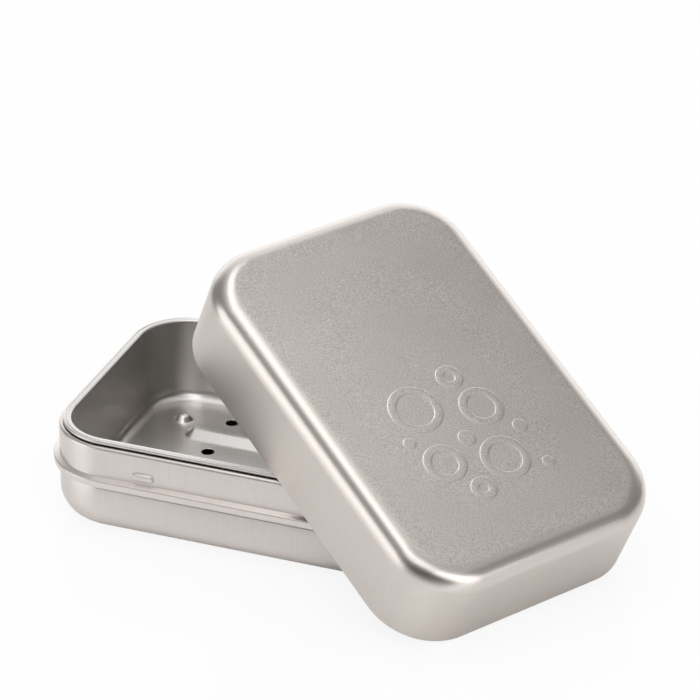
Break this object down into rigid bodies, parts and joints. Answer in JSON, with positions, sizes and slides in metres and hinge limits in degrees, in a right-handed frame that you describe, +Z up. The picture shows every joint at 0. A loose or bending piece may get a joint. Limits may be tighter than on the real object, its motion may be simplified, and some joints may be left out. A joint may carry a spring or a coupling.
{
  "type": "soap tin",
  "caption": "Rounded rectangular metal soap tin: beaded base with a curled rim, perforated drip tray hanging in it, and a slip lid that leans on the open rim.",
  "frame": {"origin": "centre of the base's flat underside, on the ground", "axes": "+X along the base's long side, +Y from the front long wall to the back one, +Z up"},
  "size_m": [0.1381, 0.0992, 0.0644],
  "materials": {
    "base_metal": "satin, fine upright brushing",
    "tray_metal": "satin, fine even grain",
    "lid_metal": "satin, fine even grain on top, brushed walls"
  },
  "bodies": {
    "base": {"base_tin": "base_metal"},
    "tray": {"soap_tray": "tray_metal"},
    "lid": {"lid": "lid_metal"}
  },
  "joints": [
    {"name": "tray_lift", "type": "slide", "parent": "base", "child": "tray", "axis": [0, 0, 1], "range_m": [0, 0.03]},
    {"name": "lid_lift", "type": "slide", "parent": "tray", "child": "lid", "axis": [0, 0, 1], "range_m": [0, 0.06]}
  ]
}
